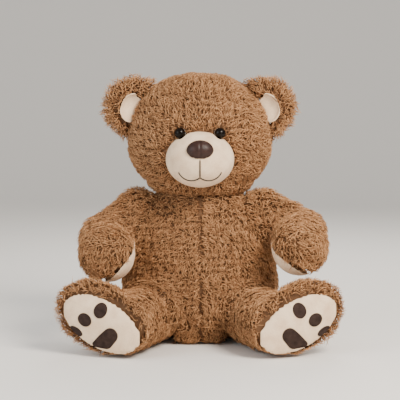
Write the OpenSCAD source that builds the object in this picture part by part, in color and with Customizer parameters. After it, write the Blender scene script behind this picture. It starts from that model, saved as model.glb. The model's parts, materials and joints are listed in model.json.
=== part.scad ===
// Sitting teddy bear: sewn plush covers over wadding, on five stitched joints.
// Millimetres. +Z is up, the bear looks along -Y, and +X is its own left side.
// The origin is on the seat, under the middle of the body.

/* [Body] */
// Width of the belly over the pile
belly_w = 294; // [280:1:300]
// Depth of the belly over the pile
belly_d = 236; // [225:1:245]
// Height of the body, from the seat to the neck joint
body_h = 275; // [272:1:280]

/* [Head] */
// Width of the head over the pile
head_w = 279; // [265:1:290]
// Depth of the head over the pile
head_d = 234; // [224:1:244]
// Height of the top of the head above the seat
head_top = 500; // [492:1:506]
// Radius of an ear over the pile
ear_r = 57; // [50:1:62]
// Width of the muzzle
muzzle_w = 124; // [116:1:130]
// Diameter of an eye
eye_d = 20; // [16:1:24]

/* [Limbs] */
// Radius of the root of an arm
shoulder_r = 45; // [42:1:48]
// Radius of the forearm and paw
paw_r = 52; // [48:1:54]
// Radius of the thigh
thigh_r = 58; // [55:1:60]
// Lift of the left arm from the pose of the right one, in degrees
left_arm_lift = 12; // [0:1:16]
// Angle of each leg out from straight ahead, in degrees
leg_splay = 20; // [16:1:24]
// Length of a leg from hip to sole
leg_len = 180; // [174:1:186]
// Length of the sole
sole_len = 160; // [150:1:166]
// Width of the sole
sole_w = 90; // [84:1:94]

/* [Cloth] */
// Thickness of the plush: the knitted back and its standing pile
plush_t = 12; // [10:1:14]
// Thickness of the short-pile cloth and of the felt
suede_t = 3; // [2:0.5:4]
// Room between two pieces that touch
gap = 0.5; // [0.4:0.1:0.8]

/* [Hidden] */
$fn = 64;

fur = "#a57650";
cream = "#e8d7c3";
felt = "#3e302c";
wadding = "#f4f2ec";
big = 1300;
// Play on each side of a seam between two covers.
seam_play = 0.1;
// Widest radius of an egg outline is a little over its nominal one.
egg_share = 0.986;

// Body: an egg on end, fuller below, cut flat at the seat and at the neck.
body_mid = 143;
body_half_h = 147;
body_blunt = 0.62;
body_pear = 0.18;
body_r = egg_share * belly_w / 2;

// Head: a wide egg, cut flat where it turns on the body.
neck_gap = 0.6;
neck_cut = 8;
head_base = body_h + neck_gap;
head_mid = (head_top + head_base - neck_cut) / 2;
head_half_h = head_top - head_mid;
head_r = egg_share * head_w / 2;
head_blunt = 0.78;
head_pear = 0.1;
gusset_w = 76;

ear_at = [121, -4, 432];
ear_t = 19;
lining_at = ear_at - [2, 19, 2];
lining_r = 30;
lining_t = 17;
muzzle_at = [0, -96, 342];
muzzle_half_h = 51;
muzzle_sunk = 4;
nose_at = [0, -148, 361];
nose_half_w = 24.5;
nose_r = 16.5;
nose_t = 1.5;

eye_at = [36, -104, 389.5];
eye_turn = 13;
well_len = 40;
stem_r = 2.5;
stem_len = 16;
stem_play = 0.05;
washer_r = 9;
washer_t = 2;
washer_at = -9;

// Mouth: one upright stitch from the nose, and a smile of two arcs below it.
mouth_w = 1.8;
mouth_t = 1.2;
mouth_top = 345;
smile_at = [15.5, 331.3];
smile_r = 23.4;
smile_from = -133;
smile_to = -21;

thread_r = 0.9;
neck_thread_r = 40;
arm_thread_in = 38;
leg_thread_in = 47;
closing_from = 95;
closing_len = 70;
closing_y = 110;

bag_size = [44, 34, 28];
bag_y = 12;

shoulder = [116, -12, 239];
elbow = [171, -46, 189];
paw = [167, -120, 173];
elbow_r = paw_r - 3;
pad_way = [-0.74, 0.12, -0.66];
pad_from = 28;
pad_back = 56;
pad_in = 2;

hip = [84, -50, thigh_r + 1];
thigh_end = leg_len - 32;
nest_step = 1;
foot_at = [40, 24 - leg_len, 11];
foot_size = [88, 54, 64];
foot_tilt = 20;
sole_rise = 12;
sole_from = leg_len - sole_rise;
sole_at = [33, -sole_from, 1];
sole_size = [sole_len / 2, sole_rise, sole_w / 2];
sole_tilt = 25;
sole_seam = 8;
felt_t = 1.2;

// Toe patches on the sole: place along the foot and across it, then the two half sizes.
toes = [
    [8.5, 24, 12, 14],
    [28, -5, 13.5, 11.5],
    [36, -33, 14, 7.5]
];
// Ball patch: a broad lobe that narrows to a tail, as circles that a hull joins.
ball_lobe = [-27, -7, 13.5];
ball_waist = [-22, -21, 14.5];
ball_tail = [-6, -37, 5];

// Outline of half an egg: r across, h half the height, blunt under 1 squares it, pear fills its foot.
function egg(r, h, blunt, pear, n = 20) = [
    for (i = [0:n]) let (t = -90 + 180 * i / n)
        [r * pow(abs(cos(t)), blunt) * (1 - pear * sin(t)), h * sin(t)]
];

// Outline of half a capsule of two radii, with its axis on Y.
function capsule_outline(l, r1, r2, n = 10) = let (slope = asin((r1 - r2) / l)) concat(
    [for (i = [0:n]) let (a = -90 + (slope + 90) * i / n) [r1 * cos(a), r1 * sin(a)]],
    [for (i = [0:n]) let (a = slope + (90 - slope) * i / n) [r2 * cos(a), l + r2 * sin(a)]]
);

// Outline of a bent strip of one width along an arc.
function arc_strip(r, w, from, to, n = 16) = concat(
    [for (i = [0:n]) let (a = from + (to - from) * i / n) (r - w / 2) * [cos(a), sin(a)]],
    [for (i = [n:-1:0]) let (a = from + (to - from) * i / n) (r + w / 2) * [cos(a), sin(a)]]
);

module mirrored(side) {
    if (side > 0) children();
    else mirror([1, 0, 0]) children();
}

// The half of space on one side of the middle, a hair off the middle seam.
module half(side) {
    mirrored(side) translate([seam_play, -big / 2, -big / 2]) cube(big);
}

// An ellipse turned about +Z: r across, h half the length of the axis.
module spheroid(r, h) {
    rotate_extrude() polygon(egg(r, h, 1, 0, 24));
}

module ring(r, thick) {
    rotate_extrude() translate([r, 0]) circle(thick, $fn = 24);
}

// Turns +Z to point along a direction.
module facing(at, way) {
    translate(at) rotate([0, acos(way[2] / norm(way)), atan2(way[1], way[0])]) children();
}

module capsule(a, b, r1, r2) {
    facing(a, b - a) rotate_extrude() polygon(capsule_outline(norm(b - a), r1, r2));
}

// Everything more than a distance past a point in a direction.
module beyond(at, way, past = 0) {
    facing(at, way) translate([-big / 2, -big / 2, past]) cube(big);
}

// ---- Solid forms, each drawn in by an inset ----

module body_form(inset = 0) {
    intersection() {
        translate([0, 0, body_mid]) scale([1, belly_d / belly_w, 1])
            rotate_extrude() polygon(egg(body_r - inset, body_half_h - inset, body_blunt, body_pear));
        translate([-big / 2, -big / 2, inset]) cube([big, big, body_h - 2 * inset]);
    }
}

module head_form(inset = 0) {
    intersection() {
        translate([0, 0, head_mid]) scale([1, head_d / head_w, 1])
            rotate_extrude() polygon(egg(head_r - inset, head_half_h - inset, head_blunt, head_pear));
        translate([-big / 2, -big / 2, head_base + inset]) cube(big);
    }
}

module muzzle_form(inset = 0) {
    translate(muzzle_at) spheroid(muzzle_w / 2 - inset, muzzle_half_h - inset);
}

module nose_form(inset = 0) {
    translate(nose_at) rotate([0, 90, 0]) spheroid(nose_r - inset, nose_half_w - inset);
}

module ear_form(inset = 0) {
    translate(ear_at) rotate([90, 0, 0]) spheroid(ear_r - inset, ear_t - inset);
}

module lining_form(inset = 0) {
    translate(lining_at) rotate([90, 0, 0]) spheroid(lining_r - inset, lining_t - inset);
}

module arm_form(inset = 0) {
    capsule(shoulder, elbow, shoulder_r - inset, elbow_r - inset);
    capsule(elbow, paw, paw_r - inset, paw_r + 0.5 - inset);
}

// Places an arm on its side of the body, swung out about its shoulder.
module arm_place(side) {
    mirrored(side) translate(shoulder)
        rotate([0, side > 0 ? -left_arm_lift : 0, 0]) translate(-shoulder) children();
}

// Leg frame: hip at the origin, leg along -Y, outside of the leg on +X.
module leg_frame() {
    translate(hip) rotate([0, 0, leg_splay]) children();
}

// Foot frame: +X towards the toes, -Y out of the sole.
module foot_frame(at, tilt) {
    leg_frame() translate(at) rotate([0, -tilt, 0]) children();
}

// Thigh and foot, each turned so that the line where its surface closes is off the seam plane.
module leg_form(inset = 0) {
    intersection() {
        union() {
            leg_frame() rotate([90, 0, 0]) rotate(180)
                rotate_extrude() polygon(capsule_outline(thigh_end, thigh_r - inset, thigh_r - 2 - inset));
            foot_frame(foot_at, foot_tilt)
                scale(foot_size - [inset, inset, inset]) rotate(90) sphere(1);
        }
        leg_frame() translate([-big / 2, inset - sole_from, -big / 2]) cube(big);
    }
}

// The crowned end of a foot, from a flat base a little off the seam plane.
module sole_form(inset = 0, room = gap) {
    intersection() {
        foot_frame(sole_at, sole_tilt) scale(sole_size - [inset, inset, inset]) sphere(1);
        leg_frame() translate([-big / 2, -sole_from - room - big, -big / 2]) cube(big);
    }
}

// The opening of the leg cover that the sole closes.
module sole_opening(inset = 0) {
    hole = sole_size - [sole_seam + inset, 0, sole_seam + inset];
    foot_frame(sole_at, sole_tilt) rotate([90, 0, 0])
        scale([hole[0], hole[2], 1]) cylinder(h = 2 * plush_t + 2, r = 1, center = true);
}

// Room that the body leaves for an arm.
module arm_nest(side, extra = 0) {
    arm_place(side) arm_form(-2 * gap - extra);
}

// Room that the body leaves for a leg: round above and behind, and open below for its swing.
module leg_nest(side, extra = 0) {
    nest_r = thigh_r + 2 * gap + extra;
    slot_w = 2 * (nest_r + 2 * nest_step);
    slot_back = 0.7 * nest_r;
    mirrored(side) leg_frame() {
        sphere(nest_r + nest_step);
        rotate([90, 0, 0]) cylinder(h = leg_len, r = nest_r);
        translate([-slot_w / 2, -leg_len, -leg_len]) cube([slot_w, leg_len + slot_back, leg_len]);
    }
}

// ---- Body ----

module body_core(inset) {
    difference() {
        body_form(plush_t + inset);
        for (side = [-1, 1]) {
            arm_nest(side, suede_t + inset);
            leg_nest(side, suede_t + inset);
        }
    }
}

module arm_seam_ring(side, thick) {
    nest_r = shoulder_r + 2 * gap + thread_r;
    mirrored(side) translate(shoulder - [arm_thread_in, 0, 0]) rotate([0, 90, 0])
        ring(sqrt(nest_r * nest_r - arm_thread_in * arm_thread_in), thick);
}

module leg_seam_ring(side, thick) {
    nest_r = thigh_r + nest_step + 2 * gap + thread_r;
    mirrored(side) leg_frame() translate([0, leg_thread_in, 0]) rotate([90, 0, 0])
        ring(sqrt(nest_r * nest_r - leg_thread_in * leg_thread_in), thick);
}

module neck_seam_ring(thick) {
    translate([0, 0, body_h - thread_r]) ring(neck_thread_r, thick);
}

module closing_thread(thick) {
    translate([0, closing_y, closing_from]) cylinder(h = closing_len, r = thick);
}

module body_cover(side) {
    groove_r = thread_r + 2 * seam_play;
    color(fur) intersection() {
        difference() {
            body_form();
            body_core(0);
            arm_nest(side);
            leg_nest(side);
            arm_seam_ring(side, groove_r);
            leg_seam_ring(side, groove_r);
            neck_seam_ring(groove_r);
            closing_thread(groove_r);
        }
        half(side);
    }
}

module bag_form(grow = 0) {
    floor_z = plush_t + gap;
    intersection() {
        translate([0, bag_y, floor_z]) scale(bag_size + [grow, grow, grow]) sphere(1);
        translate([-big / 2, -big / 2, floor_z - 2 * grow]) cube(big);
    }
}

module body_filling() {
    color(wadding) difference() {
        body_core(gap);
        bag_form(gap);
    }
}

module seat_pellet_bag() color("#d9d4c7") bag_form();
module back_closing_thread() color(fur) closing_thread(thread_r);
module neck_seam_thread() color(fur) neck_seam_ring(thread_r);
module arm_seam_thread(side) color(fur) arm_seam_ring(side, thread_r);
module leg_seam_thread(side) color(fur) leg_seam_ring(side, thread_r);

// ---- Head ----

// Eye frame: +Z out of the face.
module eye_frame() {
    translate(eye_at) rotate([90, 0, eye_turn]) children();
}

// Round hollows in both sides of the face, open to the front, from a depth behind the eyes.
module eye_wells(r, behind = 0) {
    for (side = [-1, 1])
        mirrored(side) eye_frame() translate([0, 0, -behind]) cylinder(h = well_len, r = r);
}

module head_shell() {
    difference() {
        head_form();
        head_form(plush_t);
        muzzle_form(-gap);
        eye_wells(eye_d / 2 + 1);
        eye_wells(stem_r + stem_play, stem_len);
    }
}

// The strip from the muzzle over the crown to the nape.
module gusset_zone(grow = 0) {
    w = gusset_w + 2 * grow;
    translate([-w / 2, -big / 2, muzzle_at[2] - grow]) cube([w, big, big]);
    translate([-w / 2, -grow, -big / 2]) cube([w, big, big]);
}

module head_cover(side) {
    color(fur) difference() {
        intersection() {
            head_shell();
            half(side);
        }
        gusset_zone(seam_play);
    }
}

module head_gusset() {
    color(fur) intersection() {
        head_shell();
        gusset_zone();
    }
}

module head_filling() {
    color(wadding) difference() {
        head_form(plush_t + gap);
        muzzle_form(-gap);
        eye_wells(washer_r + gap, stem_len + gap);
    }
}

module muzzle_cover() {
    color(cream) intersection() {
        difference() {
            muzzle_form();
            muzzle_form(suede_t);
            eye_wells(eye_d / 2 + 1, stem_len);
        }
        translate([-big / 2, muzzle_at[1] + muzzle_sunk - big, -big / 2]) cube(big);
    }
}

module muzzle_filling() {
    color(wadding) difference() {
        muzzle_form(suede_t + gap);
        eye_wells(eye_d / 2 + 1, stem_len + gap);
    }
}

module nose_cover() {
    color("#583c37") difference() {
        nose_form();
        nose_form(nose_t);
        muzzle_form(-gap / 2);
    }
}

module nose_filling() {
    color(wadding) difference() {
        nose_form(nose_t + gap / 2);
        muzzle_form(-gap / 2);
    }
}

module mouth_outline() {
    arcs_meet = smile_at[1] - sqrt(smile_r * smile_r - smile_at[0] * smile_at[0]);
    translate([-mouth_w / 2, arcs_meet])
        square([mouth_w, mouth_top - arcs_meet]);
    for (side = [0, 1])
        mirror([side, 0]) translate(smile_at)
            polygon(arc_strip(smile_r, mouth_w, smile_from, smile_to));
}

module mouth_thread() {
    color("#241a18") difference() {
        intersection() {
            muzzle_form(-mouth_t);
            translate([0, muzzle_at[1], 0]) rotate([90, 0, 0]) linear_extrude(big) mouth_outline();
        }
        muzzle_form(-seam_play);
    }
}

module eye(side) {
    color("#120d0c") mirrored(side) eye_frame() {
        intersection() {
            sphere(eye_d / 2);
            translate([-eye_d, -eye_d, 0]) cube(2 * eye_d);
        }
        translate([0, 0, 2 - stem_len]) cylinder(h = stem_len - 1, r = stem_r);
    }
}

module eye_washer(side) {
    color("#e9e6df") mirrored(side) eye_frame() translate([0, 0, washer_at]) difference() {
        cylinder(h = washer_t, r = washer_r);
        translate([0, 0, -1]) cylinder(h = washer_t + 2, r = stem_r + stem_play);
    }
}

module ear_back(side) {
    color(fur) mirrored(side) difference() {
        ear_form();
        lining_form(-gap);
        head_form(-gap);
    }
}

module ear_lining(side) {
    color(cream) mirrored(side) difference() {
        lining_form();
        lining_form(suede_t);
        translate(lining_at - [big / 2, big, big / 2]) cube(big);
        head_form(-gap);
    }
}

// ---- Arms ----

arm_up_way = -cross(elbow - shoulder, paw - shoulder);

// The inner end of the paw, on both sides of the seam round the pad.
module pad_zone(room = 0) {
    intersection() {
        beyond(paw, pad_way, pad_from - room);
        beyond(paw, paw - elbow, -pad_back - room);
    }
}

module arm_cover(way) {
    color(fur) intersection() {
        difference() {
            arm_form();
            arm_form(plush_t);
            pad_zone(gap);
        }
        beyond(shoulder, way, seam_play);
    }
}

module arm_cover_upper(side) arm_place(side) arm_cover(arm_up_way);
module arm_cover_lower(side) arm_place(side) arm_cover(-arm_up_way);

module arm_filling(side) {
    color(wadding) arm_place(side) arm_form(plush_t + gap);
}

module paw_pad(side) {
    color(cream) arm_place(side) intersection() {
        difference() {
            arm_form(pad_in);
            arm_form(pad_in + suede_t);
        }
        pad_zone();
    }
}

// ---- Legs ----

module leg_cover(inward) {
    color(fur) difference() {
        leg_form();
        leg_form(plush_t);
        sole_opening();
        leg_frame() mirror([inward, 0, 0]) translate([seam_play - big, -big / 2, -big / 2]) cube(big);
    }
}

module leg_cover_outer(side) mirrored(side) leg_cover(0);
module leg_cover_inner(side) mirrored(side) leg_cover(1);

module leg_filling(side) {
    color(wadding) mirrored(side) {
        leg_form(plush_t + gap);
        sole_form(suede_t + gap);
        intersection() {
            sole_opening(gap);
            leg_frame() translate([-big / 2, -sole_from - 2 * gap, -big / 2]) cube(big);
        }
    }
}

module sole(side) {
    color(cream) mirrored(side) difference() {
        sole_form();
        sole_form(suede_t, -gap);
    }
}

// Felt lying on the sole inside an outline.
module felt_patch() {
    color(felt) intersection() {
        difference() {
            sole_form(-felt_t);
            sole_form(-seam_play, -gap);
        }
        foot_frame(sole_at, sole_tilt) rotate([90, 0, 0]) linear_extrude(big) children();
    }
}

module toe_patches(side) {
    mirrored(side) felt_patch()
        for (toe = toes)
            translate([toe[0], toe[1]]) scale([toe[2], toe[3]]) circle(1);
}

module ball_circle(part) translate([part[0], part[1]]) circle(part[2], $fn = 32);

module ball_patch(side) {
    mirrored(side) felt_patch()
        for (end = [ball_lobe, ball_tail])
            hull() {
                ball_circle(ball_waist);
                ball_circle(end);
            }
}

body_cover(1);  // body_cover_left
body_cover(-1);  // body_cover_right
body_filling();
seat_pellet_bag();
back_closing_thread();
neck_seam_thread();
arm_seam_thread(1);  // left_arm_seam_thread
arm_seam_thread(-1);  // right_arm_seam_thread
leg_seam_thread(1);  // left_leg_seam_thread
leg_seam_thread(-1);  // right_leg_seam_thread
head_cover(1);  // head_cover_left
head_cover(-1);  // head_cover_right
head_gusset();
head_filling();
muzzle_cover();
muzzle_filling();
nose_cover();
nose_filling();
mouth_thread();
eye(1);  // left_eye
eye(-1);  // right_eye
eye_washer(1);  // left_eye_washer
eye_washer(-1);  // right_eye_washer
ear_back(1);  // left_ear_back
ear_back(-1);  // right_ear_back
ear_lining(1);  // left_ear_lining
ear_lining(-1);  // right_ear_lining
arm_cover_upper(1);  // left_arm_cover_upper
arm_cover_lower(1);  // left_arm_cover_lower
arm_filling(1);  // left_arm_filling
paw_pad(1);  // left_paw_pad
arm_cover_upper(-1);  // right_arm_cover_upper
arm_cover_lower(-1);  // right_arm_cover_lower
arm_filling(-1);  // right_arm_filling
paw_pad(-1);  // right_paw_pad
leg_cover_outer(1);  // left_leg_cover_outer
leg_cover_inner(1);  // left_leg_cover_inner
leg_filling(1);  // left_leg_filling
sole(1);  // left_sole
ball_patch(1);  // left_ball_patch
toe_patches(1);  // left_toe_patches
leg_cover_outer(-1);  // right_leg_cover_outer
leg_cover_inner(-1);  // right_leg_cover_inner
leg_filling(-1);  // right_leg_filling
sole(-1);  // right_sole
ball_patch(-1);  // right_ball_patch
toe_patches(-1);  // right_toe_patches
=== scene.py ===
"""Looks of the sitting teddy bear: stuffed skins with a pile of fur, suede, felt, satin and glossy eyes."""

import json
import math

import bmesh
import bpy
import numpy as np
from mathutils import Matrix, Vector
from mathutils.bvhtree import BVHTree


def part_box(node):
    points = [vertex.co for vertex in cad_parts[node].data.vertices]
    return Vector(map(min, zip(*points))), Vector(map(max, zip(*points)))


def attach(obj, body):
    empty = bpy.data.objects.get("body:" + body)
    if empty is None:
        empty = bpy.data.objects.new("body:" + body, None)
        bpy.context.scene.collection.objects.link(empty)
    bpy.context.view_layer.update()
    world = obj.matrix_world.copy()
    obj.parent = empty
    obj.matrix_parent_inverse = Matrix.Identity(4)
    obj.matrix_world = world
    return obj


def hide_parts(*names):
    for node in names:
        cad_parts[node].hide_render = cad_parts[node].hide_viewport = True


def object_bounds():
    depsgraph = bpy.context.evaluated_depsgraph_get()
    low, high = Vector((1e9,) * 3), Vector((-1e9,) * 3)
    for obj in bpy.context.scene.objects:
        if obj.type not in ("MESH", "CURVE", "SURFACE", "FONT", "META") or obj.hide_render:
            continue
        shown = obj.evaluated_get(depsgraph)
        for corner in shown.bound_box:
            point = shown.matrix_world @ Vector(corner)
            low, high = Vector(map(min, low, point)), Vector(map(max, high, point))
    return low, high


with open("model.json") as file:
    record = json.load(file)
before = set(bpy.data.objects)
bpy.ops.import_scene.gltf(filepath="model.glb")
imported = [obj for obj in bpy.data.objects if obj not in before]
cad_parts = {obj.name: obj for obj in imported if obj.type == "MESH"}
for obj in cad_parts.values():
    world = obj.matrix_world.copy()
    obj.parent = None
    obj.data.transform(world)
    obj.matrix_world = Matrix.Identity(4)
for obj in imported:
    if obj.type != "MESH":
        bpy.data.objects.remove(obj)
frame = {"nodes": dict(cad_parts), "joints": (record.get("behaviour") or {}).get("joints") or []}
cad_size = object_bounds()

MM = 0.001
PILE = 10 * MM
SIM_FRAMES = 20
SIDES = ("left", "right")
NODES = frame["nodes"]
JOINTS = {j["name"]: j for j in frame["joints"]}


# ---- Materials ----

def principled(name, color, rough, **values):
    """A material with plain values, set on the shader's own sockets."""
    mat = bpy.data.materials.new(name)
    mat.use_nodes = True
    shader = mat.node_tree.nodes["Principled BSDF"]
    shader.inputs["Base Color"].default_value = (*color, 1)
    shader.inputs["Roughness"].default_value = rough
    for key, value in values.items():
        shader.inputs[key.replace("_", " ")].default_value = value
    return mat


def cloth_material(name, dark, light, rough, grain, mottle, height, **values):
    """Cloth: mottled colour, fine fibres of one size and a soft nap in the relief. Sizes in metres."""
    mat = principled(name, light, rough, **values)
    tree = mat.node_tree
    shader = tree.nodes["Principled BSDF"]
    place = tree.nodes.new("ShaderNodeTexCoord")
    fibres = tree.nodes.new("ShaderNodeTexNoise")
    fibres.inputs["Scale"].default_value = 1 / grain
    fibres.inputs["Detail"].default_value = 6
    fibres.inputs["Roughness"].default_value = 0.7
    patches = tree.nodes.new("ShaderNodeTexNoise")
    patches.inputs["Scale"].default_value = 1 / mottle
    patches.inputs["Detail"].default_value = 3
    both = tree.nodes.new("ShaderNodeMath")
    both.operation = "MULTIPLY_ADD"
    both.inputs[1].default_value = 0.5
    half = tree.nodes.new("ShaderNodeMath")
    half.operation = "MULTIPLY"
    half.inputs[1].default_value = 0.5
    ramp = tree.nodes.new("ShaderNodeValToRGB")
    ramp.color_ramp.elements[0].position = 0.36
    ramp.color_ramp.elements[0].color = (*dark, 1)
    ramp.color_ramp.elements[1].position = 0.62
    ramp.color_ramp.elements[1].color = (*light, 1)
    bump = tree.nodes.new("ShaderNodeBump")
    bump.inputs["Strength"].default_value = 0.6
    bump.inputs["Distance"].default_value = height
    tree.links.new(place.outputs["Object"], fibres.inputs["Vector"])
    tree.links.new(place.outputs["Object"], patches.inputs["Vector"])
    tree.links.new(patches.outputs["Fac"], half.inputs[0])
    tree.links.new(fibres.outputs["Fac"], both.inputs[0])
    tree.links.new(half.outputs["Value"], both.inputs[2])
    tree.links.new(both.outputs["Value"], ramp.inputs["Fac"])
    tree.links.new(ramp.outputs["Color"], shader.inputs["Base Color"])
    tree.links.new(fibres.outputs["Fac"], bump.inputs["Height"])
    tree.links.new(bump.outputs["Normal"], shader.inputs["Normal"])
    return mat


FUR_TONES = 4
FUR_BANDS = 3
# The dark end of every fur colour is made darker partly as painted shade down among the roots.
FUR_DARK_AND_ROOT_SHADE = np.array([0.17, 0.065, 0.022])
FUR_LIGHT = np.array([0.88, 0.48, 0.23])


def fur_materials():
    """Colours of fur: a darker root, partly the fur's own colour and partly painted shade among the roots,
    a middle and a lighter tip, each in several tones.
    """
    made = []
    for band in range(FUR_BANDS):
        for tone in range(FUR_TONES):
            # Band 0, at the root, gets the darkest colours: partly the fur's own colour and partly painted
            # shade.
            depth = (band + 0.1) / FUR_BANDS * 0.8 + tone / (FUR_TONES - 1) * 0.24
            color = FUR_DARK_AND_ROOT_SHADE + (FUR_LIGHT - FUR_DARK_AND_ROOT_SHADE) * depth
            made.append(principled(
                f"fur_{band}_{tone}", color, 0.75, Specular_IOR_Level=0.2))
    return made


FUR = fur_materials()
BACKING = cloth_material("knit_backing", (0.09, 0.042, 0.020), (0.19, 0.100, 0.052), 0.95,
                         1.2 * MM, 18 * MM, 0.5 * MM, Specular_IOR_Level=0.2)
SUEDE = cloth_material("cream_suede", (0.72, 0.51, 0.33), (0.93, 0.73, 0.51), 0.85,
                       1.5 * MM, 22 * MM, 0.35 * MM, Sheen_Weight=0.1, Sheen_Roughness=0.4)
FELT = cloth_material("dark_felt", (0.018, 0.010, 0.008), (0.045, 0.027, 0.022), 0.92,
                      1.1 * MM, 9 * MM, 0.4 * MM, Specular_IOR_Level=0.2)
SATIN = cloth_material("nose_satin", (0.016, 0.006, 0.004), (0.038, 0.014, 0.010), 0.45,
                       0.7 * MM, 7 * MM, 0.12 * MM, Specular_IOR_Level=0.3)
THREAD = cloth_material("dark_thread", (0.010, 0.006, 0.005), (0.028, 0.017, 0.014), 0.6,
                        0.6 * MM, 4 * MM, 0.2 * MM)
SEAM_THREAD = cloth_material("brown_thread", (0.13, 0.062, 0.03), (0.24, 0.125, 0.065), 0.7,
                             0.6 * MM, 4 * MM, 0.2 * MM, Sheen_Weight=0.2)
EYE = principled("eye_gloss", (0.004, 0.002, 0.001), 0.06, Specular_IOR_Level=0.16)
WASHER = principled("washer_plastic", (0.78, 0.77, 0.74), 0.5)


# ---- Meshes ----

def link(name, mesh):
    obj = bpy.data.objects.new(name, mesh)
    bpy.context.scene.collection.objects.link(obj)
    return obj


def settle(obj):
    """Makes the object's modifiers part of its mesh."""
    graph = bpy.context.evaluated_depsgraph_get()
    mesh = bpy.data.meshes.new_from_object(obj.evaluated_get(graph))
    obj.modifiers.clear()
    obj.data = mesh
    return obj


def points_of(mesh):
    co = np.empty(len(mesh.vertices) * 3)
    mesh.vertices.foreach_get("co", co)
    return co.reshape(-1, 3)


def normals_of(mesh):
    n = np.empty(len(mesh.vertices) * 3)
    mesh.vertices.foreach_get("normal", n)
    return n.reshape(-1, 3)


def set_points(mesh, co):
    mesh.vertices.foreach_set("co", co.ravel())
    mesh.update()


def smooth_shading(obj, *materials):
    for mat in materials:
        obj.data.materials.append(mat)
    obj.data.polygons.foreach_set("use_smooth", [True] * len(obj.data.polygons))


def joined_copy(name, nodes):
    """A new object holding copies of some CAD solids."""
    work = bmesh.new()
    for node in nodes:
        work.from_mesh(NODES[node].data)
    mesh = bpy.data.meshes.new(name)
    work.to_mesh(mesh)
    work.free()
    return link(name, mesh)


def remeshed(obj, voxel):
    remesh = obj.modifiers.new("remesh", "REMESH")
    remesh.mode = "VOXEL"
    remesh.voxel_size = voxel
    return settle(obj)


def relaxed(obj, times):
    smooth = obj.modifiers.new("smooth", "SMOOTH")
    smooth.factor = 0.5
    smooth.iterations = times
    return settle(obj)


def keep_largest(obj):
    """Drops the closed pockets inside a solid, and keeps its outer surface."""
    work = bmesh.new()
    work.from_mesh(obj.data)
    left, islands = set(work.verts), []
    while left:
        island, edge_of = set(), [left.pop()]
        while edge_of:
            v = edge_of.pop()
            island.add(v)
            for e in v.link_edges:
                w = e.other_vert(v)
                if w in left:
                    left.discard(w)
                    edge_of.append(w)
        islands.append(island)
    islands.sort(key=len)
    drop = [v for island in islands[:-1] for v in island]
    bmesh.ops.delete(work, geom=drop, context="VERTS")
    work.to_mesh(obj.data)
    work.free()
    return obj


def tree_of(*nodes):
    """A search tree over some CAD solids."""
    points, faces = [], []
    for node in nodes:
        mesh = NODES[node].data
        base = len(points)
        points += [v.co.copy() for v in mesh.vertices]
        faces += [[base + i for i in p.vertices] for p in mesh.polygons]
    return BVHTree.FromPolygons(points, faces)


def mesh_tree(obj):
    mesh = obj.data
    return BVHTree.FromPolygons([v.co.copy() for v in mesh.vertices],
                                [list(p.vertices) for p in mesh.polygons])


def distance(tree, points):
    return np.array([tree.find_nearest(p)[3] for p in points])


def step01(x, low, high):
    t = np.clip((x - low) / (high - low), 0, 1)
    return t * t * (3 - 2 * t)


def inflate(obj, pinned, cap, pressure=4.0):
    """Blows the skin up against its pinned seams, and keeps each point within cap of where it was."""
    before = points_of(obj.data)
    group = obj.vertex_groups.new(name="seams")
    group.add([int(i) for i in np.nonzero(pinned)[0]], 1.0, "REPLACE")
    sim = obj.modifiers.new("cloth", "CLOTH")
    sim.settings.quality = 4
    sim.settings.mass = 0.3
    sim.settings.tension_stiffness = 20
    sim.settings.compression_stiffness = 20
    sim.settings.bending_stiffness = 1.5
    sim.settings.use_pressure = True
    sim.settings.uniform_pressure_force = pressure
    sim.settings.effector_weights.gravity = 0
    sim.settings.vertex_group_mass = "seams"
    sim.collision_settings.use_collision = False
    scene = bpy.context.scene
    for step in range(1, SIM_FRAMES + 1):
        scene.frame_set(step)
    settle(obj)
    scene.frame_set(1)
    obj.vertex_groups.clear()
    after = points_of(obj.data)
    move = after - before
    length = np.linalg.norm(move, axis=1, keepdims=True)
    move *= np.minimum(1, cap / np.maximum(length, 1e-9))
    set_points(obj.data, before + move)
    return obj


def subdivided(obj, levels=1):
    sub = obj.modifiers.new("subdivision", "SUBSURF")
    sub.levels = levels
    sub.render_levels = levels
    return settle(obj)


# ---- Plush skins ----

PRESSED = 1.5 * MM
SEAM_DEPTH = 2.5 * MM
SEAM_HALF_W = 4 * MM


def seam_mask(points, covers):
    """Where two covers meet: 1 on the seam, falling to 0 beside it."""
    if len(covers) < 2:
        return np.zeros(len(points))
    away = np.sort([distance(tree_of(c), points) for c in covers], axis=0)
    return 1 - step01(away[1] - away[0], 0, SEAM_HALF_W)


def plush_skin(name, body, covers, inside, beside=(), pile=PILE, voxel=5 * MM, flats=(),
               swell=None):
    """The knitted backing: the covers' outer form drawn in by the pile, with sewn seams and a swell.

    The pile is pressed flat against the pieces beside it. flats are levels where the form is cut flat,
    and the skin stays close to them too. swell is a last change to the form, before it is stuffed.
    """
    obj = keep_largest(remeshed(joined_copy(name, [*covers, *inside]), voxel))
    points, normals = points_of(obj.data), normals_of(obj.data)
    depth = np.full(len(points), pile)
    for level in flats:
        near = 1 - step01(np.abs(points[:, 2] - level), 2 * voxel, 4 * voxel)
        flat = step01(np.abs(normals[:, 2]), 0.6, 0.9)
        depth = np.minimum(depth, pile + (PRESSED - pile) * near * flat)
    if beside:
        pressed = 1 - step01(distance(tree_of(*beside), points), 3 * MM, 12 * MM)
        depth = np.minimum(depth, pile + (PRESSED - pile) * pressed)
    seam = seam_mask(points, covers)
    set_points(obj.data, points - normals * (depth + SEAM_DEPTH * seam)[:, None])
    relaxed(obj, 4)
    if swell:
        swell(obj)
    inflate(obj, seam > 0.5, 3 * MM)
    subdivided(obj)
    smooth_shading(obj, BACKING)
    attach(obj, body)
    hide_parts(*covers, *[n for n in inside if "filling" in n or "bag" in n])
    return obj


# ---- Fur ----

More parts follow.
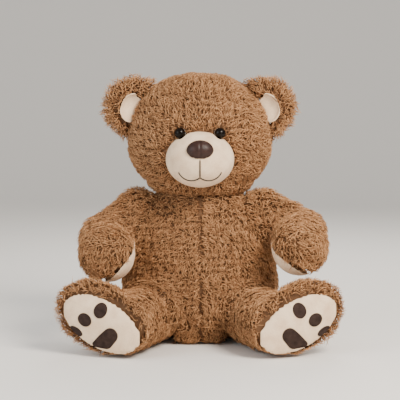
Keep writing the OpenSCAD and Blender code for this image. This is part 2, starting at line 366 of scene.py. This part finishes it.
TUFT_RINGS = np.array([0.0, 0.42, 0.76])
TUFT_GIRTH = np.array([1.0, 0.85, 0.5])
CLUMP = 12 * MM
PIECE_TUFTS = 13000
SEAT_LEVEL = 0.3 * MM
# Any numbers that scramble the cell of a lock into a place inside it.
HASH_MIX = np.array([[12.9, 78.2, 37.7], [39.3, 11.1, 83.1], [73.2, 52.2, 9.15]])
HASH_SPREAD = 43758.5


def unit(v):
    return v / np.maximum(np.linalg.norm(v, axis=1, keepdims=True), 1e-9)


def scatter(mesh, density, random):
    """Even random places over a mesh, as points and normals. density is per square metre."""
    mesh.calc_loop_triangles()
    tris = np.empty(len(mesh.loop_triangles) * 3, int)
    mesh.loop_triangles.foreach_get("vertices", tris)
    tris = tris.reshape(-1, 3)
    co, no = points_of(mesh), normals_of(mesh)
    a, b, c = co[tris[:, 0]], co[tris[:, 1]], co[tris[:, 2]]
    area = np.linalg.norm(np.cross(b - a, c - a), axis=1) / 2
    count = int(area.sum() * density)
    edge = np.cumsum(area) / area.sum()
    pick = tris[np.searchsorted(edge, (np.arange(count) + random.random(count)) / count)]
    u, v = random.random((2, count, 1))
    flip = u + v > 1
    u, v = np.where(flip, 1 - u, u), np.where(flip, 1 - v, v)
    mix = lambda x: x[pick[:, 0]] * (1 - u - v) + x[pick[:, 1]] * u + x[pick[:, 2]] * v
    return mix(co), unit(mix(no))


def swirl(points, size, phase):
    """A smooth random wave over space, from -1 to 1."""
    p = points / size
    return (np.sin(p[:, 0] * 1.7 + np.sin(p[:, 1] * 1.3 + phase) * 1.9 + phase)
            + np.sin(p[:, 2] * 1.9 + np.sin(p[:, 0] * 1.1 - phase) * 1.7 + 2 * phase)
            + np.sin(p[:, 1] * 1.5 + np.sin(p[:, 2] * 1.2 + 3 * phase) * 1.8)) / 3


def clump_pull(points, seed):
    """From each point to the middle of its lock of fur."""
    cell = np.floor(points / CLUMP)
    hashed = np.sin(cell @ HASH_MIX + seed) * HASH_SPREAD
    return (cell + 0.25 + 0.5 * (hashed - np.floor(hashed))) * CLUMP - points


def tuft_mesh(name, points, tone):
    """A mesh of tufts of ten points each, coloured by band along the tuft, with a darker root band that is
    partly painted shade, and by its own tone.
    """
    count = len(points)
    quads = [[3 * i + k, 3 * i + (k + 1) % 3, 3 * i + 3 + (k + 1) % 3, 3 * i + 3 + k]
             for i in range(2) for k in range(3)]
    tips = [[6 + k, 6 + (k + 1) % 3, 9] for k in range(3)]
    corners = np.array([i for face in quads + tips for i in face])
    sizes = np.array([4] * 6 + [3] * 3)
    bands = np.array([0] * 3 + [1] * 3 + [2] * 3)
    mesh = bpy.data.meshes.new(name)
    mesh.vertices.add(count * 10)
    mesh.vertices.foreach_set("co", points.ravel())
    mesh.loops.add(count * len(corners))
    mesh.loops.foreach_set("vertex_index", (corners[None, :] + 10 * np.arange(count)[:, None]).ravel())
    mesh.polygons.add(count * 9)
    first = np.concatenate([[0], np.cumsum(sizes)[:-1]])
    starts = first[None, :] + len(corners) * np.arange(count)[:, None]
    mesh.polygons.foreach_set("loop_start", starts.ravel())
    # Root faces take the darker colours: partly the fur's own colour and partly painted shade among the
    # roots.
    mesh.polygons.foreach_set("material_index", (bands[None, :] * FUR_TONES + tone[:, None]).ravel())
    mesh.update(calc_edges=True)
    return mesh


def fur(name, skin, body, comb, length, seed, density=120e3, girth=0.95 * MM, lift=1.0, keep=None):
    """Tapered, curled tufts over a skin. comb gives the way that the fur lies at each point."""
    random = np.random.default_rng(seed)
    root, normal = scatter(skin.data, density, random)
    if keep is not None:
        chosen = keep(root, normal)
        root, normal = root[chosen], normal[chosen]
    count = len(root)
    way = comb(root) + 0.32 * random.normal(size=(count, 3))
    way = unit(way - normal * np.sum(way * normal, axis=1, keepdims=True))
    side = np.cross(normal, way)
    turn = (0.9 * swirl(root, 24 * MM, seed % 7) + 0.5 * swirl(root, 10 * MM, seed % 4 + 2))[:, None]
    way, side = way * np.cos(turn) + side * np.sin(turn), side * np.cos(turn) - way * np.sin(turn)
    pull = clump_pull(root, seed)
    pull -= normal * np.sum(pull * normal, axis=1, keepdims=True)
    long = (length * random.uniform(0.75, 1.2, count))[:, None]
    curl = (random.normal(size=count) * 0.22)[:, None]
    wave = (0.9 + 0.35 * swirl(root, 14 * MM, seed % 5 + 1))[:, None]

    def along(s):
        up = lift * wave * (s - 0.52 * s * s)
        lean = 0.25 * s + 0.55 * s * s
        bend = curl * np.sin(s * 4.2)
        return root + long * (normal * up + way * lean + side * bend) + pull * 0.62 * s * s

    rings = [along(s) for s in TUFT_RINGS] + [along(1.0)]
    rings[0] = rings[0] - normal * 1.5 * MM
    thick = (girth * random.uniform(0.7, 1.25, count))[:, None]
    points = np.empty((count, 10, 3))
    for i, share in enumerate(TUFT_GIRTH):
        ahead = unit(rings[i + 1] - rings[i])
        across = unit(np.cross(ahead, way + 0.3 * normal))
        over = np.cross(across, ahead)
        for k in range(3):
            angle = 2 * math.pi * k / 3 + 0.5 * i
            spoke = across * math.cos(angle) + over * math.sin(angle)
            points[:, 3 * i + k] = rings[i] + thick * share * spoke
    points[:, 9] = rings[3]
    points[:, :, 2] = np.maximum(points[:, :, 2], SEAT_LEVEL)

    shade = 0.5 + 0.25 * swirl(root, 9 * MM, seed % 3) + 0.22 * random.normal(size=count)
    tone = np.clip(FUR_TONES * shade, 0, FUR_TONES - 1).astype(int)
    for number, start in enumerate(range(0, count, PIECE_TUFTS)):
        part = slice(start, start + PIECE_TUFTS)
        obj = link(f"{name}_{number}", tuft_mesh(f"{name}_{number}", points[part], tone[part]))
        smooth_shading(obj, *FUR)
        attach(obj, body)


def clear_of(*nodes, gap=4 * MM, pile=PILE):
    """A test that keeps the places whose fur would not grow out of these pieces."""
    tree = tree_of(*nodes)

    def keep(points, normals):
        return (distance(tree, points + normals * pile) > gap) & (distance(tree, points) > gap)
    return keep


def outside_oval(centre, head_centre, inset=5 * MM, half_w=15 * MM, half_l=29 * MM):
    """A test that leaves out an upright oval along the side of the head, a little out from a centre."""
    out = centre - head_centre
    out = out * [1, 0, 1] / math.hypot(out[0], out[2])
    up = np.array([-out[2], 0, out[0]])

    def keep(points, normals):
        from_centre = points - centre - inset * out
        in_front = points[:, 1] < centre[1] + half_l
        oval = ((from_centre @ out) / half_w) ** 2 + ((from_centre @ up) / half_l) ** 2
        return ~((oval < 1) & in_front & (normals[:, 1] < 0.2))
    return keep


# ---- Suede, felt and thread ----

def panel(name, body, volume, node, voxel=3 * MM, cap=2.5 * MM, thickness=1.5 * MM, bare=None):
    """A sewn panel: the part of a form that one CAD piece covers, swollen inside its pinned edge.

    bare tells which places fur grows over, and the panel is left out there.
    """
    obj = keep_largest(remeshed(joined_copy(name, volume), voxel))
    relaxed(obj, 3)
    points = points_of(obj.data)
    far = distance(tree_of(node), points) > 0.7 * voxel
    if bare:
        far |= bare(points, np.zeros_like(points))
    work = bmesh.new()
    work.from_mesh(obj.data)
    work.verts.ensure_lookup_table()
    bmesh.ops.delete(work, geom=[work.verts[i] for i in np.nonzero(far)[0]], context="VERTS")
    work.to_mesh(obj.data)
    work.free()
    keep_largest(obj)
    work = bmesh.new()
    work.from_mesh(obj.data)
    edge = np.array([v.is_boundary for v in work.verts])
    work.free()
    inflate(obj, edge, cap)
    subdivided(obj)
    solid = obj.modifiers.new("thickness", "SOLIDIFY")
    solid.thickness = thickness
    solid.offset = -1
    settle(obj)
    smooth_shading(obj, SUEDE)
    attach(obj, body)
    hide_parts(node)
    return obj


def tucked(obj, node_names, reach, depth):
    """Draws the edge of a panel that lies by some pieces into them, so that no cut edge shows."""
    tree = tree_of(*node_names)
    points = points_of(obj.data)
    for i, p in enumerate(points):
        near, _, _, far = tree.find_nearest(Vector(p), reach)
        if near is not None and far > 0:
            points[i] += (np.array(near) - p) / far * depth * (1 - far / reach)
    set_points(obj.data, points)


def bulged(obj, nodes, level, most):
    """Lets a skin swell sideways until it touches the limbs beside it, below a level."""
    tree = tree_of(*nodes)
    points, normals = points_of(obj.data), normals_of(obj.data)
    facing_side = step01(np.abs(normals[:, 0]), 0.25, 0.7)
    for i in np.nonzero((points[:, 2] < level) & (facing_side > 0))[0]:
        way = Vector((math.copysign(1, normals[i, 0]), 0, 0))
        far = tree.ray_cast(Vector(points[i]), way, 2 * most)[3]
        if far is not None:
            points[i, 0] += way[0] * min(far - PRESSED, most) * facing_side[i]
    set_points(obj.data, points)
    return relaxed(obj, 3)


def tube(name, path, radius, sides=8, material=None):
    """A round thread along a line of points."""
    path = [Vector(p) for p in path]
    rings = []
    for i, p in enumerate(path):
        ahead = (path[min(i + 1, len(path) - 1)] - path[max(i - 1, 0)]).normalized()
        across = ahead.cross(Vector((0, 1, 0.01))).normalized()
        over = across.cross(ahead)
        taper = 0.55 if i in (0, len(path) - 1) else 1.0
        rings.append([p + radius * taper * (across * math.cos(a) + over * math.sin(a))
                      for a in (2 * math.pi * k / sides for k in range(sides))])
    points = [p for ring in rings for p in ring]
    faces = []
    for r in range(len(rings) - 1):
        for k in range(sides):
            low, high, beside = r * sides, (r + 1) * sides, (k + 1) % sides
            faces.append((low + k, low + beside, high + beside, high + k))
    faces.append(tuple(range(sides))[::-1])
    faces.append(tuple(range(len(points) - sides, len(points))))
    mesh = bpy.data.meshes.new(name)
    mesh.from_pydata(points, [], faces)
    obj = link(name, mesh)
    smooth_shading(obj, material or THREAD)
    return obj


# ---- Where things are ----

def middle(node):
    low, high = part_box(node)
    return (np.array(low) + np.array(high)) / 2


def spot(vector):
    return np.array(vector, float)


nose = middle("nose_cover")
shoulder = {s: spot(JOINTS[f"{s}_shoulder"]["pos_m"]) for s in SIDES}
hip = {s: spot(JOINTS[f"{s}_hip"]["pos_m"]) for s in SIDES}
neck_level = JOINTS["neck_turn"]["pos_m"][2]
down = np.array([0.0, 0.0, -1.0])


# ---- The way the fur lies ----

def from_point(centre, bias=(0, 0, 0)):
    return lambda points: unit(points - centre) + np.array(bias)


def down_and_out(points):
    """Down the belly and away from its middle seam."""
    way = np.zeros_like(points)
    way[:, 0] = np.sign(points[:, 0]) * (0.35 + 0.6 * (1 - step01(np.abs(points[:, 0]), 0, 25 * MM)))
    way[:, 2] = -1
    return unit(way)


def along_limb(start, end, bias=(0, 0, 0)):
    way = (end - start) / np.linalg.norm(end - start) + np.array(bias)
    return lambda points: np.broadcast_to(way, points.shape)


# ---- Head ----

HEAD_COVERS = ["head_cover_left", "head_cover_right", "head_gusset"]
HEAD_TRIM = ["muzzle_cover", "left_eye", "right_eye"]
NOSE_PLUMP = 1.14
NOSE_CREASE = 1.4 * MM
NOSE_CREASE_HALF_W = 1.3 * MM


def make_head():
    skin = plush_skin("head_skin", "head", HEAD_COVERS, ["head_filling", "muzzle_filling"],
                      flats=[neck_level])
    fur("head_fur", skin, "head", from_point(nose, (0, 0.25, -0.1)), 14 * MM, seed=11,
        keep=clear_of(*HEAD_TRIM, gap=1.2 * MM))


def make_nose():
    """A plump satin nose with a faint crease down its middle."""
    skin = keep_largest(remeshed(joined_copy("nose_skin", ["nose_cover", "nose_filling"]), 1.5 * MM))
    relaxed(skin, 3)
    points = points_of(skin.data)
    points[:, 1] += NOSE_CREASE * np.exp(-(points[:, 0] / NOSE_CREASE_HALF_W) ** 2)
    points[:, 2] = nose[2] + NOSE_PLUMP * (points[:, 2] - nose[2])
    set_points(skin.data, points)
    subdivided(skin)
    smooth_shading(skin, SATIN)
    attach(skin, "head")
    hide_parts("nose_cover", "nose_filling")


# The smile: two arcs side by side, given as shares of the mouth's half width, and turns in degrees.
SMILE_R = 0.625
SMILE_X = 0.414
SMILE_TURNS = (-131, -21)
STITCH_END = 0.75
MOUTH_THREAD_R = 1.25 * MM


def make_mouth(muzzle):
    """One upright run of thread and two arcs, laid on the muzzle."""
    low, high = map(spot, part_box("mouth_thread"))
    tree = mesh_tree(muzzle)
    radius, sideways = SMILE_R * high[0], SMILE_X * high[0]
    centre_z = low[2] + radius

    def on_muzzle(x, z):
        hit = tree.ray_cast(Vector((x, low[1] - 50 * MM, z)), Vector((0, 1, 0)))[0]
        return hit - Vector((0, 0.3 * MOUTH_THREAD_R, 0))

    runs = [[(0.0, z) for z in np.linspace(high[2], centre_z - STITCH_END * radius, 14)]]
    for flank in (-1, 1):
        turns = np.radians(np.linspace(*SMILE_TURNS, 26))
        runs.append([(flank * (sideways + radius * math.cos(t)), centre_z + radius * math.sin(t))
                     for t in turns])
    for number, run in enumerate(runs):
        stitch = tube(f"mouth_stitch_{number}", [on_muzzle(x, z) for x, z in run], MOUTH_THREAD_R)
        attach(stitch, "head")
        if number == 0:
            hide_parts("mouth_thread")


def make_ear(side):
    ear = f"{side}_ear"
    skin = plush_skin(f"{ear}_skin", "head", [f"{ear}_back"], [], HEAD_COVERS, pile=7 * MM, voxel=4 * MM)
    furry = outside_oval(middle(f"{ear}_lining"), middle("head_filling"))
    fur(f"{ear}_fur", skin, "head", from_point(middle(f"{ear}_back")), 18 * MM, seed=20 + len(side),
        keep=furry, density=140e3)
    lining = panel(f"{ear}_lining_skin", "head", [f"{ear}_lining"], f"{ear}_lining", voxel=2 * MM,
                   cap=0.5 * MM, thickness=0.5 * MM, bare=furry)
    tucked(lining, HEAD_COVERS, 8 * MM, 9 * MM)


def paint_eye(side):
    for node, paint in ((f"{side}_eye", EYE), (f"{side}_eye_washer", WASHER)):
        NODES[node].data.materials.clear()
        NODES[node].data.materials.append(paint)


# ---- Body ----

BODY_COVERS = ["body_cover_left", "body_cover_right"]
LEG_COVERS = [f"{side}_leg_cover_{part}" for side in SIDES for part in ("outer", "inner")]
ARM_COVERS = [f"{side}_arm_cover_{part}" for side in SIDES for part in ("upper", "lower")]
SEAT_EDGE = 6 * MM


def make_body():
    """The body's skin, and its fur in two halves that leave the flat on the seat bare."""
    skin = plush_skin("body_skin", "body", BODY_COVERS, ["body_filling", "seat_pellet_bag"],
                      ARM_COVERS + LEG_COVERS, flats=[neck_level, 0.0], voxel=6 * MM,
                      swell=lambda obj: bulged(obj, LEG_COVERS, hip["left"][2], 22 * MM))
    fur("body_fur_left", skin, "body", down_and_out, 15 * MM, seed=31,
        keep=lambda p, n: (p[:, 2] > SEAT_EDGE) & (p[:, 0] >= 0))
    fur("body_fur_right", skin, "body", down_and_out, 15 * MM, seed=32,
        keep=lambda p, n: (p[:, 2] > SEAT_EDGE) & (p[:, 0] < 0))


# ---- Arms and legs ----

def make_arm(side):
    arm, pad, out = f"{side}_arm", f"{side}_paw_pad", 1 if side == "left" else -1
    skin = plush_skin(f"{arm}_skin", arm, [f"{arm}_cover_upper", f"{arm}_cover_lower"],
                      [f"{arm}_filling", pad], BODY_COVERS)
    fur(f"{arm}_fur", skin, arm, along_limb(shoulder[side], middle(pad), (0.35 * out, 0, -0.25)), 19 * MM,
        seed=40 + len(side), keep=clear_of(pad))
    panel(f"{side}_pad_skin", arm, [pad, f"{arm}_filling"], pad, cap=2 * MM)


def leg_comb(start, sole):
    """Along the leg, and fanned round the sole near the foot."""
    way = (sole - start) * [1, 1, 0]
    way /= np.linalg.norm(way)
    length = np.linalg.norm(sole - start)

    def comb(points):
        reach = step01((points - start) @ way, 0.5 * length, 0.9 * length)
        fan = unit((points - sole) - ((points - sole) @ way)[:, None] * way) * 0.7
        return way + fan * reach[:, None] + 0.25 * down
    return comb


def make_leg(side):
    leg, sole = f"{side}_leg", f"{side}_sole"
    skin = plush_skin(f"{leg}_skin", leg, [f"{leg}_cover_outer", f"{leg}_cover_inner"],
                      [f"{leg}_filling", sole], BODY_COVERS)
    fur(f"{leg}_fur", skin, leg, leg_comb(hip[side], middle(sole)), 17 * MM, seed=50 + len(side),
        keep=clear_of(sole, gap=6 * MM))
    panel_skin = panel(f"{side}_sole_skin", leg, [sole, f"{leg}_filling"], sole, cap=2.5 * MM)
    for patch in (f"{side}_ball_patch", f"{side}_toe_patches"):
        lay_felt(patch, leg, sole, panel_skin)


def lay_felt(patch, body, sole, sole_skin):
    """Lays a copy of a felt patch on the stuffed sole, as high over it as in the CAD."""
    skin_tree, cad_tree = mesh_tree(sole_skin), tree_of(sole)
    felt = joined_copy(f"{patch}_felt", [patch])
    work = bmesh.new()
    work.from_mesh(felt.data)
    bmesh.ops.remove_doubles(work, verts=work.verts, dist=0.01 * MM)
    long_edges = [e for e in work.edges if e.calc_length() > 3 * MM]
    bmesh.ops.subdivide_edges(work, edges=long_edges, cuts=2, use_grid_fill=True)
    for v in work.verts:
        high = cad_tree.find_nearest(v.co)[3]
        place, face_way = skin_tree.find_nearest(v.co)[:2]
        v.co = place + face_way * (high - 0.2 * MM)
    work.to_mesh(felt.data)
    work.free()
    smooth_shading(felt, FELT)
    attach(felt, body)
    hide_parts(patch)


# ---- Seam threads ----

def stitch_ring(name, node, axis, count):
    """Short slanted stitches round a seam ring."""
    centre, (low, high) = middle(node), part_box(node)
    axis = unit(np.array([axis], float))[0]
    across = unit(np.cross([axis], [[0, 0, 1] if abs(axis[2]) < 0.9 else [1, 0, 0]]))[0]
    over = np.cross(axis, across)
    radius = max(high - low) / 2 - 0.9 * MM
    for i in range(count):
        ends = []
        for part in (0.0, 0.5, 1.0):
            a = 2 * math.pi * (i + 0.7 * part) / count
            ends.append(centre + radius * (across * math.cos(a) + over * math.sin(a))
                        + axis * (part - 0.5) * 4 * MM)
        yield tube(f"{name}_{i}", ends, 0.6 * MM, sides=6, material=SEAM_THREAD)


def sewn(name, node, body, stitches):
    """Joins the stitches into one piece that stands for the seam's thread."""
    stitches = list(stitches)
    work = bmesh.new()
    for s in stitches:
        work.from_mesh(s.data)
        bpy.data.objects.remove(s)
    mesh = bpy.data.meshes.new(name)
    work.to_mesh(mesh)
    work.free()
    obj = link(name, mesh)
    smooth_shading(obj, SEAM_THREAD)
    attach(obj, body)
    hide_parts(node)


RUNGS = 12


def closing_ladder():
    """Rungs of thread across the seam that closes the back."""
    low, high = map(spot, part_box("back_closing_thread"))
    y = high[1] - 0.9 * MM
    for i in range(RUNGS):
        z = low[2] + (high[2] - low[2]) * (i + 0.5) / RUNGS
        path = [(-3 * MM, y, z), (0, y + 0.6 * MM, z + 1.5 * MM), (3 * MM, y, z + 3 * MM)]
        yield tube(f"rung_{i}", path, 0.6 * MM, sides=6, material=SEAM_THREAD)


def make_stitches():
    sewn("neck_stitches", "neck_seam_thread", "body",
         stitch_ring("neck", "neck_seam_thread", (0, 0, 1), 36))
    for side in SIDES:
        sewn(f"{side}_arm_stitches", f"{side}_arm_seam_thread", "body",
             stitch_ring(f"{side}_a", f"{side}_arm_seam_thread", (1, 0, 0), 24))
        hinge = np.array(JOINTS[f"{side}_hip"]["axis"])
        sewn(f"{side}_leg_stitches", f"{side}_leg_seam_thread", "body",
             stitch_ring(f"{side}_l", f"{side}_leg_seam_thread", np.cross(hinge, [0, 0, 1]), 30))
    sewn("closing_stitches", "back_closing_thread", "body", closing_ladder())


# ---- Floor, light and camera ----

def lamp(name, place, aim, size, power, color):
    data = bpy.data.lights.new(name, "AREA")
    data.size = size
    data.energy = power
    data.color = color
    obj = bpy.data.objects.new(name, data)
    obj.location = place
    obj.rotation_euler = (Vector(aim) - Vector(place)).to_track_quat("-Z", "Y").to_euler()
    bpy.context.scene.collection.objects.link(obj)


tall = float(cad_size[1][2])


def make_lights():
    aim = (0, -0.1 * tall, 0.5 * tall)
    lamp("key", (1.9 * tall, -2.6 * tall, 3.0 * tall), aim, 1.6 * tall, 62, (1.0, 0.91, 0.80))
    lamp("fill", (-2.8 * tall, -2.2 * tall, 1.8 * tall), aim, 2.2 * tall, 14, (0.93, 0.97, 1.0))
    lamp("back", (0.6 * tall, 2.6 * tall, 2.8 * tall), aim, 1.8 * tall, 16, (1.0, 0.96, 0.90))
    world = bpy.data.worlds.new("studio")
    world.use_nodes = True
    world.node_tree.nodes["Background"].inputs["Color"].default_value = (1.0, 0.98, 0.95, 1)
    world.node_tree.nodes["Background"].inputs["Strength"].default_value = 0.6
    bpy.context.scene.world = world


def make_backdrop():
    """A pale floor that rises in one curve into a wall, behind the widest turn of the camera."""
    bend = 4 * tall
    wall = 5 * tall
    profile = [(-20 * tall, 0.0)]
    for a in np.radians(np.linspace(0, 90, 24)):
        profile.append((wall + bend * math.sin(a), bend * (1 - math.cos(a))))
    profile += [(wall + bend, 30 * tall)]
    points = [(x, y, z) for y, z in profile for x in (-20 * tall, 20 * tall)]
    faces = [(2 * i, 2 * i + 1, 2 * i + 3, 2 * i + 2) for i in range(len(profile) - 1)]
    mesh = bpy.data.meshes.new("backdrop")
    mesh.from_pydata(points, [], faces)
    obj = link("backdrop", mesh)
    smooth_shading(obj, principled("pale_backdrop", (0.88, 0.86, 0.83), 0.9))


def make_camera():
    """A long lens a little above the bear's middle, straight in front of it."""
    data = bpy.data.cameras.new("camera")
    data.sensor_width = 36
    data.lens = 137.3
    camera = bpy.data.objects.new("camera", data)
    bpy.context.scene.collection.objects.link(camera)
    bpy.context.scene.camera = camera
    rise = math.radians(5.5)
    target = Vector((0, -0.1 * tall, 0.528 * tall))
    camera.location = target + 5.6 * tall * Vector((0, -math.cos(rise), math.sin(rise)))
    camera.rotation_euler = (target - camera.location).to_track_quat("-Z", "Y").to_euler()


# ---- Everything, in order ----

make_head()
muzzle = panel("muzzle_skin", "head", ["muzzle_cover", "muzzle_filling"], "muzzle_cover", cap=1.5 * MM)
make_nose()
make_mouth(muzzle)
for side in SIDES:
    make_ear(side)
    paint_eye(side)
make_body()
for side in SIDES:
    make_arm(side)
    make_leg(side)
make_stitches()
make_lights()
make_backdrop()
make_camera()
